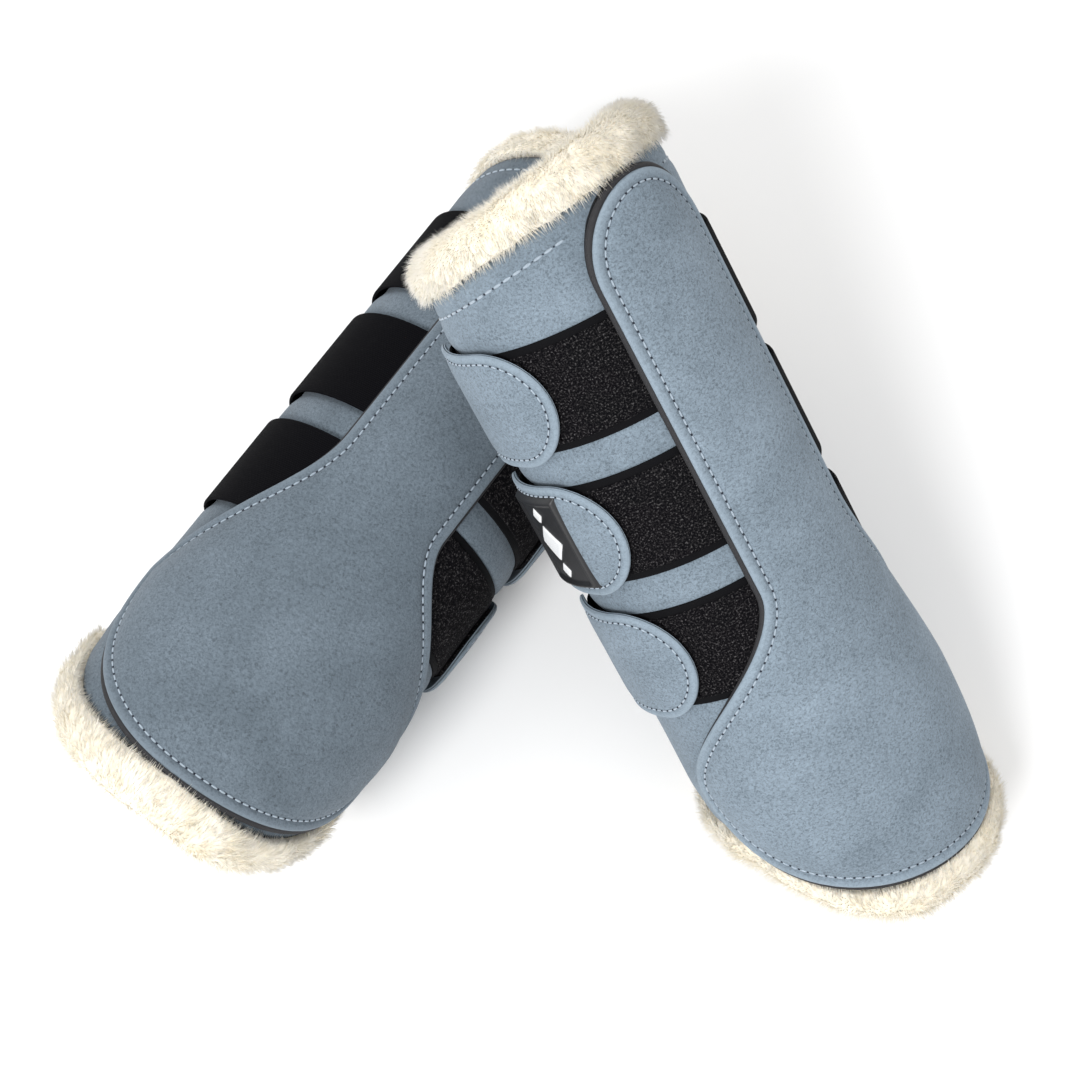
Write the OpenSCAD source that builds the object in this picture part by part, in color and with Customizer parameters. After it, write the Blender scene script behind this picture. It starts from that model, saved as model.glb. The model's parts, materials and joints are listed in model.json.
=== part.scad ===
// A pair of horse tendon boots with a rolled fleece lining, lying as they are put down:
// boot A flat on the table, boot B propped across the top end of boot A.
//
// Each boot is drawn in its own frame first: its leg axis is Z, z = 0 is the lower tip of
// the strike pad, the pad faces +X, and angles are in degrees about Z from the pad's middle.
// Boot A is the mirror image of boot B, as a left and a right boot are.

/* [Shell] */
// Outer radius of boot A's shell on the shaft, strapped loosely
shaft_r_a = 50; // [49:0.5:51]
// Outer radius of boot B's shell on the shaft, strapped more tightly
shaft_r_b = 45; // [44:0.5:46]
// Height of the boot at the strike pad, without the fleece
pad_h = 264; // [250:1:280]
// How much the radius grows at the lower tip, over the fetlock
flare = 2; // [1:0.5:4]
// Height over which the flare runs out
flare_h = 90; // [80:1:100]
// How much lower the top edge is at the back than at the pad
top_drop = 20; // [10:1:26]
// How much higher the bottom edge is at the sides than at the pad's lower tip
side_rise = 33; // [30:1:34]
// How much higher the bottom edge is at the back than at the pad's lower tip
back_rise = 44; // [42:1:50]

/* [Layers] */
// Suede of the outer shell
suede_t = 1.5; // [1:0.1:2]
// Foam core between suede and fleece
foam_t = 4.5; // [3:0.1:5]
// Fleece lining
fleece_t = 8; // [6:0.5:11]
// Foam inside the strike pad
pad_foam_t = 3.5; // [2:0.1:4]
// Suede over the strike pad
pad_suede_t = 1.5; // [1:0.1:2]
// How far the fleece cuff stands out past the shell's surface
cuff_proud = 3.5; // [2:0.5:5]
// Length of the fleece cuff past the top edge
cuff_top_h = 14; // [12:1:20]
// Length of the fleece cuff past the bottom edge
cuff_bottom_h = 15; // [12:1:20]

/* [Strike pad] */
// Half width of the pad on the shaft
pad_shaft_w = 25; // [22:0.5:28]
// Half width of the pad's bowl on the side of the loop bands
pad_bowl_loop_w = 82; // [78:1:84]
// Half width of the pad's bowl on the side where the elastics are sewn
pad_bowl_sewn_w = 68; // [64:1:72]
// Height of the bowl's widest point
bowl_z = 58; // [50:1:62]

/* [Straps] */
// Width of the elastic webbing and of the loop bands
band_w = 38; // [34:1:40]
// Distance from one strap to the next
band_pitch = 51; // [48:1:54]
// Height of the top strap's middle
band_top_z = 212; // [206:1:216]
// Thickness of a loop band
loop_t = 1.6; // [1:0.1:2]
// Thickness of the elastic webbing
elastic_t = 2.6; // [2:0.1:2.8]
// Width of a suede tab
tab_w = 43; // [40:1:46]
// Thickness of a suede tab
tab_t = 1.8; // [1.4:0.1:2]
// Thickness of the hook patch under a tab
hook_t = 1.4; // [1:0.1:1.5]
// Angle that a tab spans from its hinge line to its tip
tab_span = 65; // [58:1:68]
// Thickness of the rubber badge on the middle tab
badge_t = 1.6; // [1:0.1:2]
// Where boot A's tabs end, in degrees from its pad's middle
tab_tip_a = -84; // [-88:1:-70]
// Where boot B's tabs end, in degrees from its pad's middle
tab_tip_b = -67; // [-84:1:-64]

/* [Pose] */
// Heading of boot A's top end, in degrees from +X
a_heading = 54.5; // [53:0.5:56]
// Roll of boot A's pad from straight up
a_roll = 13; // [10:0.5:16]
// Heading of boot B's top end, in degrees from +X
b_heading = 124.5; // [123:0.5:126]
// Tilt of boot B, top end up
b_tilt = 36; // [35:0.5:37]
// Roll of boot B's pad from straight up
b_roll = 21.5; // [20:0.5:23]

/* [Hidden] */
STRAPS = ["top", "mid", "low"];
BOOTS = ["a", "b"];
LAYERS = ["fleece_lining", "top_cuff", "bottom_cuff", "foam_core", "suede_shell", "pad_foam", "pad_cover"];
STRAP_PARTS = ["loop_band", "elastic", "elastic_end", "tab", "hook_patch"];

fine = 96;                  // facets that stand for a true circle
open_gap = 4;               // width of the boot's opening, in degrees
opening = 208;              // where the opening starts
middle_z = pad_h / 2;       // the point of the leg axis that a pose places
tilt_a = -0.23;            // boot A rests on its cuffs, so its top end is a little lower
a_place = [-55.9, 6.72, 54.01];
b_place = [57.58, -19.44, 100.47];
slip = 0.3;                 // clearance between a tab and what it sticks to
prism = 110;                // reach of the cutters

suede = [0.44, 0.53, 0.60];
black = [0.06, 0.06, 0.07];
cream = [0.90, 0.85, 0.74];

// Shell radius at height z: a cylinder that flares over the fetlock in short straight rings,
// so that every layer has the same rings and lies flat on the next. $shaft_r is the radius of
// the boot that is being drawn.
ring_h = flare_h / 6;
function flared_r(z) = $shaft_r + flare * pow(max(0, 1 - z / flare_h), 2);
function shell_r(z) =
    let (k = floor(z / ring_h), t = z / ring_h - k)
    flared_r(k * ring_h) * (1 - t) + flared_r((k + 1) * ring_h) * t;

// Smooth step from 0 to 1.
function ease(t) = let (c = min(1, max(0, t))) c * c * (3 - 2 * c);

// Heights of the shell's top and bottom edges above the point x of the section. The bottom edge
// follows the round lower end of the strike pad to the boot's sides, and then runs straight.
function top_edge(x) = pad_h + 2 - top_drop * ($shaft_r - x) / (2 * $shaft_r);
edge_curve = 1.6;
function bottom_edge(x) =
    x > 0 ? side_rise * pow(max(0, 1 - x / shell_r(0)), edge_curve)
    : side_rise + (back_rise - side_rise) * -x / $shaft_r;

// Half width of the strike pad at height z: round top end, straight shaft, and a bowl that
// swings out late on the loop side (side = -1) and early on the sewn side.
round_top = 27;
pad_foot = 1;
function shaft_or_bowl(z, side) =
    side < 0 ? pad_shaft_w + (pad_bowl_loop_w - pad_shaft_w) * ease((122 - z) / 66)
    : pad_shaft_w + (pad_bowl_sewn_w - pad_shaft_w) * ease((132 - z) / 92);
function pad_w(z, side) =
    z > pad_h - round_top ? pad_shaft_w * sqrt(max(0, 1 - pow((z - pad_h + round_top) / round_top, 2)))
    : z < bowl_z ? shaft_or_bowl(bowl_z, side) * sqrt(max(0, 1 - pow((bowl_z - z) / (bowl_z - pad_foot), 2)))
    : shaft_or_bowl(z, side);

// The same half width as an angle about the leg axis, measured along the middle of the pad.
pad_mid = 2.5;
function pad_deg(z, side) = pad_w(z, side) / (shell_r(z) + pad_mid) * 180 / PI;

// Heights at which the pad's outline is cut, closer where it is round.
PAD_Z = [
    for (i = [0 : 9]) pad_foot + (bowl_z - pad_foot) * (1 - cos(9 * i)),
    for (i = [1 : 12]) bowl_z + 7 * i,
    for (z = [146, 190]) z,
    for (i = [0 : 8]) pad_h - round_top + round_top * sin(11.25 * i)
];

// A layer of the boot between two offsets from the shell's surface and two angles.
module layer(inner, outer, from, to, z0 = -3 * ring_h, z1 = 300) {
    bends = [for (k = [-3 : 6]) if (k * ring_h > z0 && k * ring_h < z1) k * ring_h];
    levels = concat([z0], bends, [z1]);
    rotate([0, 0, from])
        rotate_extrude(angle = to - from, $fn = fine)
            polygon(concat(
                [for (z = levels) [shell_r(z) + outer, z]],
                [for (i = [len(levels) - 1 : -1 : 0]) [shell_r(levels[i]) + inner, levels[i]]]
            ));
}

// Points of the shell's two edges in the side view, moved up or down. The steps are even in the
// angle about the leg axis.
function top_line(shift) = [[-prism, top_edge(-prism) + shift], [prism, top_edge(prism) + shift]];
function bottom_line(shift) = concat(
    [[-prism, bottom_edge(-prism) + shift]],
    [for (a = [90 : -10 : 10]) [shell_r(0) * cos(a), bottom_edge(shell_r(0) * cos(a)) + shift]],
    [[prism, shift]]
);

// A slab that fills the space between two such lines, all the way across the boot.
module between(low_line, high_line) {
    rotate([90, 0, 0])
        linear_extrude(height = 2 * prism, center = true)
            polygon(concat(low_line, [for (i = [len(high_line) - 1 : -1 : 0]) high_line[i]]));
}

// Everything of the boot round to the opening.
module wrap(inner, outer) {
    layer(inner, outer, opening + open_gap - 360, opening);
}

module suede_shell() {
    color(suede) intersection() {
        wrap(-suede_t, 0);
        between(bottom_line(0), top_line(0));
    }
}

module foam_core() {
    color(black) intersection() {
        wrap(-suede_t - foam_t, -suede_t);
        between(bottom_line(-1), top_line(1));
    }
}

// The lining's inner wall is a true cylinder, the passage for the leg.
module leg_passage() {
    translate([0, 0, -60])
        cylinder(r = $shaft_r - suede_t - foam_t - fleece_t, h = 400, $fn = fine);
}

module fleece_lining() {
    color(cream) difference() {
        intersection() {
            layer(-suede_t - foam_t - fleece_t - 20, -suede_t - foam_t, opening + open_gap - 360, opening);
            between(bottom_line(-1), top_line(1));
        }
        leg_passage();
    }
}

// The cuffs are the fleece rolled out over the two ends.
module top_cuff() {
    color(cream) intersection() {
        layer(-suede_t - foam_t - fleece_t, cuff_proud, opening + open_gap - 360, opening);
        between(top_line(1), top_line(cuff_top_h));
    }
}

module bottom_cuff() {
    color(cream) difference() {
        intersection() {
            layer(-suede_t - foam_t - fleece_t - 20, cuff_proud, opening + open_gap - 360, opening);
            between(bottom_line(-cuff_bottom_h), bottom_line(-1));
        }
        leg_passage();
    }
}

// Cutter for one side: everything past the pad's edge, all the way up the boot.
cut_deg = 40;
module past_pad_edge(side) {
    function across(z, deg) = (shell_r(z) + pad_mid) * sin(deg - cut_deg);
    rotate([0, 0, side * cut_deg])
        rotate([90, 0, 90])
            linear_extrude(height = prism)
                polygon(concat(
                    [for (z = PAD_Z) [side * across(z, pad_deg(z, side)), z]],
                    [[side * prism, pad_h], [side * prism, pad_foot]]
                ));
}

pad_reach = 100;
sewn_gap = 0.1;             // the pad is sewn on, not glued, so a hair of air stays under it
blunt = 0.5;                // length that is cut off square at each end of the outline
module pad_layer(inner, outer) {
    difference() {
        layer(inner, outer, -pad_reach, pad_reach, pad_foot + blunt, pad_h - blunt);
        past_pad_edge(-1);
        past_pad_edge(1);
    }
}

module pad_foam() {
    color(black) pad_layer(sewn_gap, pad_foam_t);
}

module pad_cover() {
    color(suede) pad_layer(pad_foam_t, pad_foam_t + pad_suede_t);
}

function strap_z(i) = band_top_z - i * band_pitch;

// A band of webbing round part of the shell.
module band(inner, outer, from, to, i, w = band_w) {
    layer(inner, outer, from, to, strap_z(i) - w / 2, strap_z(i) + w / 2);
}

// The loop field that a tab sticks to, from the pad's edge to under the tab.
module loop_band(i, tip) {
    color(black) intersection() {
        band(0, loop_t, tip - tab_span + 4, -20, i);
        past_pad_edge(-1);
    }
}

// The sewn length of elastic, from the pad's other edge round the back to the tab's hinge line.
module elastic(i, tip) {
    color(black) union() {
        intersection() {
            band(0, elastic_t, 20, 100, i);
            past_pad_edge(1);
        }
        band(0, elastic_t, 100, 360 + tip - tab_span - 0.4, i);
    }
}

// The end of the elastic that lifts with the tab.
module elastic_end(i, tip) {
    color(black) band(slip + loop_t, slip + loop_t + hook_t, tip - tab_span + 0.4, tip - tab_span + 13, i);
}

module hook_patch(i, tip) {
    color(black)
        band(slip + loop_t, slip + loop_t + hook_t, tip - tab_span + 14, tip - 6, i, band_w - 8);
}

// A suede tab with a half-elliptical end.
tip_deg = 26;
module tab(i, tip) {
    low = slip + loop_t + hook_t;
    reach = ($shaft_r + low) * sin(tip_deg / 2);
    color(suede) intersection() {
        band(low, low + tab_t, tip - tab_span + 1, tip, i, tab_w);
        rotate([0, 0, tip - tip_deg / 2])
            rotate([90, 0, 90])
                linear_extrude(height = prism)
                    polygon(concat(
                        [[-prism, strap_z(i) - tab_w / 2]],
                        [for (a = [-90 : 10 : 90])
                            [-reach + 2 * reach * cos(a), strap_z(i) + tab_w / 2 * sin(a)]],
                        [[-prism, strap_z(i) + tab_w / 2]]
                    ));
    }
}

module badge(tip) {
    low = slip + loop_t + hook_t + tab_t;
    color(black) band(low, low + badge_t, tip - 55, tip - 22, 1, band_w - 2);
}

module strap_part(name, i, tip) {
    if (name == "loop_band") loop_band(i, tip);
    if (name == "elastic") elastic(i, tip);
    if (name == "elastic_end") elastic_end(i, tip);
    if (name == "tab") tab(i, tip);
    if (name == "hook_patch") hook_patch(i, tip);
}

module layer_part(name) {
    if (name == "fleece_lining") fleece_lining();
    if (name == "top_cuff") top_cuff();
    if (name == "bottom_cuff") bottom_cuff();
    if (name == "foam_core") foam_core();
    if (name == "suede_shell") suede_shell();
    if (name == "pad_foam") pad_foam();
    if (name == "pad_cover") pad_cover();
}

// Lays a boot down with its top end at a heading and a tilt, and its pad rolled from straight up.
module lay(place, heading, tilt, roll) {
    translate(place)
        rotate([0, 0, heading])
            rotate([0, 90 - tilt, 0])
                rotate([0, 0, 180 + roll])
                    children();
}

module pose(boot) {
    $shaft_r = boot == "a" ? shaft_r_a : shaft_r_b;
    if (boot == "a")
        lay(a_place, a_heading, tilt_a, a_roll) mirror([0, 1, 0]) translate([0, 0, -middle_z]) children();
    else
        lay(b_place, b_heading, b_tilt, b_roll) translate([0, 0, -middle_z]) children();
}

for (b = BOOTS) {
    tip = b == "a" ? tab_tip_a : tab_tip_b;
    for (l = LAYERS)
        pose(b) layer_part(l);
    for (p = STRAP_PARTS) for (i = [0 : 2])
        pose(b) strap_part(p, i, tip);
    pose(b) badge(tip);
}
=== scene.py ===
"""A pair of fleece-lined horse tendon boots, lying crossed, built over the CAD frame.

Every soft piece is drawn in its boot's own frame, in millimetres: the leg axis is Z, z = 0 is
the lower tip of the strike pad, the pad faces +X, and phi is the angle about Z in degrees.
Boot() finds that frame from the CAD's own leg mount and strap hinge, and mirrors it for boot A.
"""
import json
import math

import bmesh
import bpy
import numpy as np
from mathutils import Matrix, Vector, kdtree


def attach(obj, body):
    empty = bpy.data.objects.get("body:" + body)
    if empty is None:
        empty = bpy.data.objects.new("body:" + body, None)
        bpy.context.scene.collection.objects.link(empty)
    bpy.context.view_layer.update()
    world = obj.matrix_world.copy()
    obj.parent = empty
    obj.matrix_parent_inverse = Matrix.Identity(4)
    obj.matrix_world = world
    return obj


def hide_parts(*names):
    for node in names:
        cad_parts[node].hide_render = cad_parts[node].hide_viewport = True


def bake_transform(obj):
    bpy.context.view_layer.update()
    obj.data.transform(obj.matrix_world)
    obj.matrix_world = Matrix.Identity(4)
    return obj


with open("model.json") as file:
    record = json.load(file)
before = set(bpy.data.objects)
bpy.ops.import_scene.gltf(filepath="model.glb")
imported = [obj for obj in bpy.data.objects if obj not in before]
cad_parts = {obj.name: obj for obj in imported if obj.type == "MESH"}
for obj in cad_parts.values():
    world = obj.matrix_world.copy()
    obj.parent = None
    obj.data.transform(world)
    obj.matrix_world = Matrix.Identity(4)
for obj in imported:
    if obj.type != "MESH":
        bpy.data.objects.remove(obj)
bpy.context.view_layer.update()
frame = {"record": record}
record = frame["record"]

# ---------------------------------------------------------------- sizes, in millimetres
SHAFT_R = {"a": 50.0, "b": 45.0}
FLARE = 2.0
FLARE_H = 90.0
PAD_H = 264.0
PAD_FOOT = 1.0
TOP_DROP = 20.0
SIDE_RISE = 33.0
BACK_RISE = 44.0
EDGE_CURVE = 1.6
SUEDE_T = 1.5
FOAM_T = 4.5
FLEECE_T = 8.0
PAD_FOAM_T = 3.5
CUFF_TOP = 14.0
CUFF_BOTTOM = 15.0
OPENING = (208.0, 212.0)
STRAPS = ("top", "mid", "low")
BAND_W = 38.0
BAND_PITCH = 51.0
BAND_TOP_Z = 212.0
LOOP_T = 1.6
ELASTIC_T = 2.6
SLIP = 0.3
HOOK_T = 1.4
TAB_T = 1.8
TAB_W = 43.0
TAB_SPAN = 65.0
TAB_TIP = {"a": -84.0, "b": -67.0}
TAB_LOW = SLIP + LOOP_T + HOOK_T
RIM_STITCH_IN = 7.5
PAD_STITCH_IN = 4.0
TAB_STITCH_IN = 3.2
SEED = 7
# in metres: the pile is pressed flat where a boot rests on the surface
PRESSED = 0.0001


def strap_z(i):
    """Height of the middle of strap i, from the top."""
    return BAND_TOP_Z - i * BAND_PITCH


def ease(t):
    """From 0 to 1 with a soft start and end."""
    t = np.clip(t, 0, 1)
    return t * t * (3 - 2 * t)


# ---------------------------------------------------------------- noise for shapes
def hashed(ix, iy, iz, seed):
    """A repeatable random number from 0 to 1 for each lattice point."""
    h = ix * 374761393 + iy * 668265263 + iz * 2147483647 + seed * 1274126177
    h = (h ^ (h >> 13)) * 1274126177
    return ((h ^ (h >> 16)) & 0xFFFFFF) / float(0xFFFFFF)


def noise(p, size, seed=0):
    """Smooth noise from -1 to 1 with features of about that size."""
    q = p / size
    base = np.floor(q).astype(np.int64)
    f = q - base
    f = f * f * (3 - 2 * f)
    total = np.zeros(len(p))
    for corner in range(8):
        step = np.array([corner & 1, corner >> 1 & 1, corner >> 2 & 1])
        weight = np.prod(np.where(step, f, 1 - f), axis=1)
        at = base + step
        total += weight * hashed(at[:, 0], at[:, 1], at[:, 2], SEED + seed)
    return total * 2 - 1


def tufts(p, size, seed=0):
    """Rounded bumps from 0 to 1, one for each clump of wool of about that size."""
    q = p / size
    base = np.floor(q).astype(np.int64)
    nearest = np.full(len(p), 9.0)
    for dx in (-1, 0, 1):
        for dy in (-1, 0, 1):
            for dz in (-1, 0, 1):
                at = base + np.array([dx, dy, dz])
                spot = np.stack(
                    [hashed(at[:, 0], at[:, 1], at[:, 2], SEED + seed + k) for k in (11, 12, 13)], axis=1
                )
                nearest = np.minimum(nearest, ((at + spot - q) ** 2).sum(axis=1))
    return np.clip(1 - nearest, 0, 1)


# ---------------------------------------------------------------- frames and meshes
class Boot:
    """One boot's own frame, found from its leg mount and its top strap's hinge."""

    def __init__(self, prefix):
        self.prefix = prefix
        self.side = -1 if prefix == "a" else 1
        self.shaft_r = SHAFT_R[prefix]
        self.leg_r = self.shaft_r - SUEDE_T - FOAM_T - FLEECE_T
        self.tip = TAB_TIP[prefix]
        self.hinge = self.tip - TAB_SPAN
        mount = next(m for m in record["mounts"] if m["name"] == prefix + "_leg_clamp")
        pin = next(j for j in record["behaviour"]["joints"] if j["name"] == prefix + "_tab_top_open")
        up = Vector(mount["axis"]).normalized()
        centre = Vector(mount["pos_m"])
        pin_at = Vector(pin["pos_m"])
        foot = centre + up * (pin_at - centre).dot(up)
        turn = math.radians(self.hinge) * self.side
        x = Matrix.Rotation(-turn, 3, up) @ (pin_at - foot).normalized()
        y = up.cross(x) * self.side
        self.axes = np.array([x, y, up])
        self.origin = np.array(foot - up * BAND_TOP_Z / 1000)

    def shell_r(self, z):
        """Radius of the shell's surface at height z."""
        return self.shaft_r + FLARE * np.maximum(0, 1 - np.asarray(z, float) / FLARE_H) ** 2

    def top_edge(self, phi):
        """Height of the shell's slanted top edge at an angle."""
        return PAD_H + 2 - TOP_DROP * (1 - np.cos(np.radians(phi))) / 2

    def bottom_edge(self, phi):
        """Height of the shell's bottom edge at an angle: round under the pad, straight at the back."""
        c = np.cos(np.radians(phi))
        front = SIDE_RISE * np.maximum(0, 1 - c) ** EDGE_CURVE
        return np.where(c > 0, front, SIDE_RISE - (BACK_RISE - SIDE_RISE) * c)

    def world(self, points):
        """Points in the shared frame, in metres, from points in this boot's millimetres."""
        return self.origin + np.asarray(points, float) / 1000 @ self.axes

    def body(self, strap=None):
        """Name of the body of this boot, or of one of its straps."""
        return f"boot_{self.prefix}" if strap is None else f"strap_{self.prefix}_tab_{strap}"


def cylinder(phi, r, z):
    """Boot-frame points from angle, radius and height."""
    phi, r, z = np.broadcast_arrays(phi, r, z)
    a = np.radians(phi)
    return np.stack([r * np.cos(a), r * np.sin(a), z], axis=-1)


def add_piece(name, boot, points, faces, material, strap=None, replaces=(), rim=None):
    """A mesh piece from boot-frame points, riding on the boot or on one of its straps.

    rim holds each point's distance from the piece's outline, for a nap that is paler there.
    A piece with strap "blend" rides on nothing here.
    """
    points = np.asarray(points, float).reshape(-1, 3)
    if boot.side < 0:
        faces = [tuple(reversed(f)) for f in faces]
    mesh = bpy.data.meshes.new(name)
    placed = boot.world(points)
    placed[:, 2] = np.maximum(placed[:, 2], PRESSED)
    mesh.from_pydata(placed.tolist(), [], faces)
    mesh.validate()
    pattern = mesh.attributes.new("pattern", "FLOAT_VECTOR", "POINT")
    phi = np.degrees(np.arctan2(points[:, 1], points[:, 0])) % 360
    phi = np.where(phi > (OPENING[0] + OPENING[1]) / 2, phi - 360, phi)
    arc = np.radians(phi) * boot.shaft_r
    radius = np.hypot(points[:, 0], points[:, 1])
    laid_out = np.stack([arc, points[:, 2], radius], axis=1)
    pattern.data.foreach_set("vector", laid_out.astype(np.float32).ravel())
    if rim is not None:
        worn = mesh.attributes.new("worn", "FLOAT", "POINT")
        worn.data.foreach_set("value", np.exp(-((rim / 2.4) ** 2)).astype(np.float32))
    mesh.shade_smooth()
    piece = bpy.data.objects.new(name, mesh)
    bpy.context.scene.collection.objects.link(piece)
    piece.data.materials.append(material)
    if replaces:
        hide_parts(*replaces)
    if strap != "blend":
        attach(piece, boot.body(strap))
    return piece


def grid_faces(rows, columns, start=0, close=False):
    """Quads of a grid of points, row by row; close joins the last column to the first."""
    faces = []
    last = columns if close else columns - 1
    for i in range(rows - 1):
        for j in range(last):
            k = (j + 1) % columns
            a = start + i * columns
            b = a + columns
            faces.append((a + j, a + k, b + k, b + j))
    return faces


def sweep(phis, loop):
    """Points and faces of a closed (r, z) loop swept round the axis, with both ends capped."""
    rings = np.array([cylinder(phi, *np.asarray(loop(phi)).T) for phi in phis])
    count = rings.shape[1]
    faces = [tuple(reversed(f)) for f in grid_faces(len(phis), count, close=True)]
    end = (len(phis) - 1) * count
    faces.append(tuple(range(count)))
    faces.append(tuple(reversed(range(end, end + count))))
    return rings.reshape(-1, 3), faces


def rounded_band(r0, r1, z0, z1, edge=0.8, rows=9):
    """A closed (r, z) loop, counter-clockwise: a flat strip with rounded edges."""
    edge = min(edge, (r1 - r0) / 2)
    arc = np.radians(np.linspace(0, 90, 4))
    out = [(r1, z) for z in np.linspace(z0 + edge, z1 - edge, rows)]
    out += [(r1 - edge + edge * math.cos(a), z1 - edge + edge * math.sin(a)) for a in arc[1:]]
    out += [(r0 + edge - edge * math.sin(a), z1 - edge + edge * math.cos(a)) for a in arc[1:]]
    out += [(r0, z0 + edge)]
    out += [(r0 + edge - edge * math.cos(a), z0 + edge - edge * math.sin(a)) for a in arc[1:]]
    out += [(r1 - edge + edge * math.sin(a), z0 + edge - edge * math.cos(a)) for a in arc[1:-1]]
    return out


# distances from the edge at which a patch has its rows: close by the rim and the stitched groove
RIM = [0, 0.15, 0.4, 0.8, 1.3, 2.0, 2.7, 3.2, 3.6, 4.0, 4.4, 4.8, 5.4, 6.4, 8.0]


def steps_in(width, count):
    """Distances in from an edge, from 0 to width: RIM first, then even steps."""
    k = len(RIM)
    width = np.asarray(width, float)[..., None]
    j = np.arange(count)
    fixed = np.minimum(np.interp(j, np.arange(k), RIM), width * j / (count - 1))
    at_k = np.minimum(RIM[-1], width * (k - 1) / (count - 1))
    later = at_k + (width - at_k) * (j - k + 1) / (count - k)
    return np.where(j < k, fixed, later)


def patch(alongs, half, place, height, floor, count=34):
    """Points and faces of a closed patch of sheet whose top is a height field.

    alongs are the rows, half(a, side) is the half width at each row, place(a, c, h) gives the
    points, height(d, a, c) is the top's height at a distance d in from the outline.
    """
    alongs = np.asarray(alongs, float)
    sides = [half(alongs, side) for side in (-1, 1)]
    left = -(sides[0][:, None] - steps_in(sides[0], count))
    right = (sides[1][:, None] - steps_in(sides[1], count))[:, ::-1]
    across = np.concatenate([left, right[:, 1:]], axis=1)
    a = np.repeat(alongs[:, None], across.shape[1], axis=1)
    outline = np.concatenate(
        [np.stack([alongs, sides[1]], 1), np.stack([alongs, -sides[0]], 1)[::-1]]
    )
    d = distance_to(outline, a.ravel(), across.ravel()).reshape(a.shape)
    top = place(a, across, height(d, a, across))
    low = place(a, across, np.full(a.shape, float(floor)))
    rows, columns = a.shape
    points = np.concatenate([top.reshape(-1, 3), low.reshape(-1, 3)])
    faces = grid_faces(rows, columns)
    under = rows * columns
    faces += [tuple(reversed(f)) for f in grid_faces(rows, columns, start=under)]
    rim = [i * columns for i in range(rows)]
    rim += [(rows - 1) * columns + j for j in range(1, columns)]
    rim += [i * columns + columns - 1 for i in range(rows - 2, -1, -1)]
    rim += list(range(columns - 2, 0, -1))
    for p, q in zip(rim, rim[1:] + rim[:1]):
        faces.append((p, under + p, under + q, q))
    return points, faces, np.concatenate([d.ravel(), d.ravel()])


def distance_to(outline, a, c):
    """Distance from each point (a, c) to a closed outline, in the plane."""
    ends = np.roll(outline, -1, axis=0)
    dense = []
    for p, q in zip(outline, ends):
        n = max(1, int(np.hypot(*(q - p)) / 0.25))
        dense.append(p + (q - p) * np.linspace(0, 1, n, endpoint=False)[:, None])
    dense = np.concatenate(dense)
    tree = kdtree.KDTree(len(dense))
    for i, (x, y) in enumerate(dense):
        tree.insert((x, y, 0), i)
    tree.balance()
    return np.array([tree.find((x, y, 0))[2] for x, y in zip(a, c)])


def merge_doubles(piece, gap=0.00002):
    """Joins the points that fall together where a patch's rows shrink to a tip."""
    work = bmesh.new()
    work.from_mesh(piece.data)
    bmesh.ops.remove_doubles(work, verts=work.verts, dist=gap)
    bmesh.ops.dissolve_degenerate(work, dist=gap / 4, edges=work.edges)
    work.to_mesh(piece.data)
    work.free()


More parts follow.
